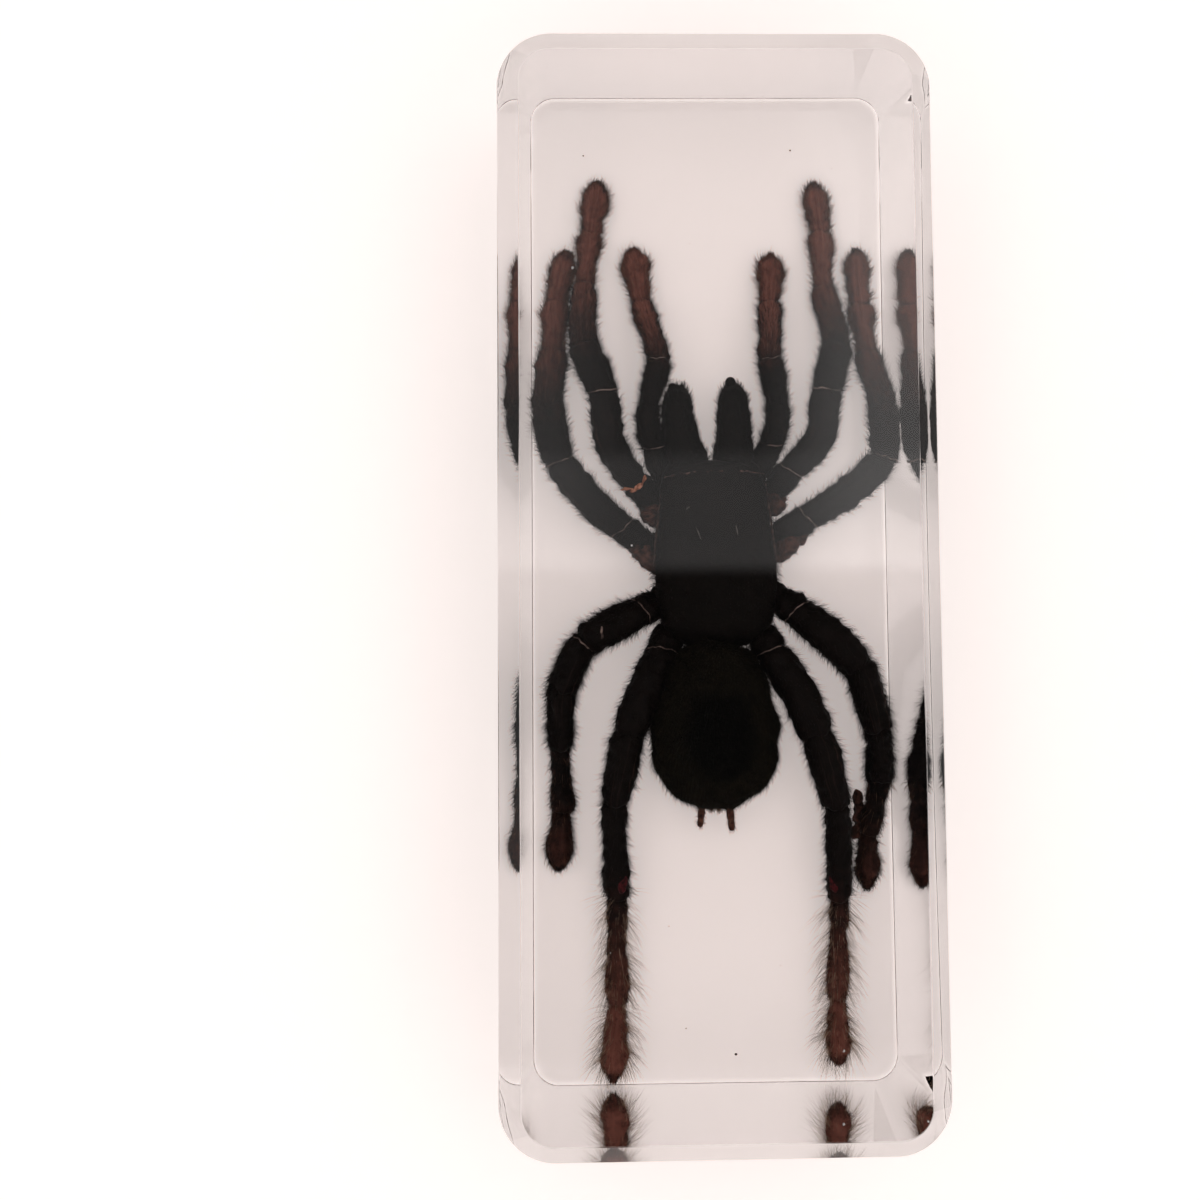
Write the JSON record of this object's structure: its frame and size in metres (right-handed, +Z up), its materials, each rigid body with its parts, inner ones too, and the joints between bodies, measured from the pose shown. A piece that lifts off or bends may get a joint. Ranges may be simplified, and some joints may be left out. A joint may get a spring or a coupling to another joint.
{
  "type": "tarantula in resin block",
  "caption": "Dried tarantula, seen from above with its legs spread, cast in a clear chamfered resin block that lies flat on its back face.",
  "frame": {"origin": "middle of the flat base face that the block lies on", "axes": "+Z up through the viewing face, +Y along the length towards the specimen's head, +X across to the specimen's right as seen from above"},
  "size_m": [0.0598, 0.1508, 0.025],
  "materials": {
    "resin": "polished, clear and almost colourless, with a faint warm tint",
    "cuticle": "satin, near black to dark red-brown",
    "hair": "fine tan and dark hairs",
    "membrane": "pale thin skin at the leg joints"
  },
  "bodies": {
    "root": {"resin_block": "resin"}
  },
  "joints": []
}
